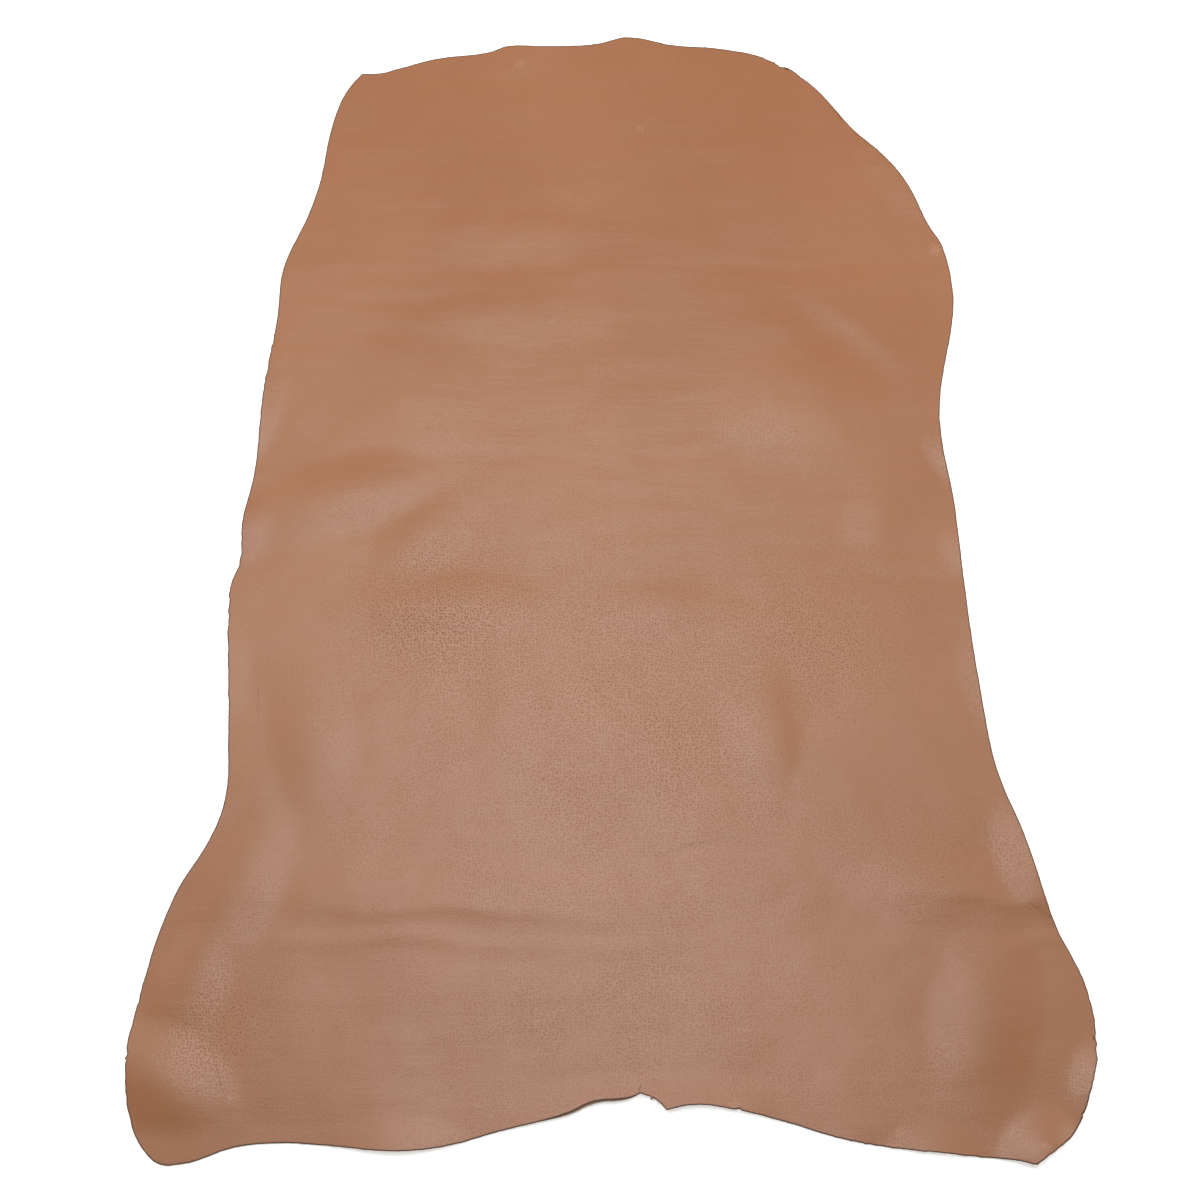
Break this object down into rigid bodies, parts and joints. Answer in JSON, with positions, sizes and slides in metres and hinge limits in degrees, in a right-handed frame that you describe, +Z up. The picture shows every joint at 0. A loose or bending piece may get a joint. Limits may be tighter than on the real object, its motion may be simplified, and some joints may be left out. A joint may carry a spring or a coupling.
{
  "type": "leather hide",
  "caption": "Whole tan leather hide, trimmed by hand and laid grain side up, with a rounded neck end, a slight waist and two flared hind lobes.",
  "frame": {"origin": "middle of the hide's box, on the surface that it lies on", "axes": "+Y along the backbone towards the neck end, +X across the hide to the right as seen from above with the neck away, +Z up out of the grain side"},
  "size_m": [0.9197, 1.217, 0.0094],
  "materials": {
    "leather": "semi-gloss tan full grain with small pores, a dark brown cut edge and a pale napped flesh side"
  },
  "bodies": {
    "root": {"hide": "leather"}
  },
  "joints": []
}
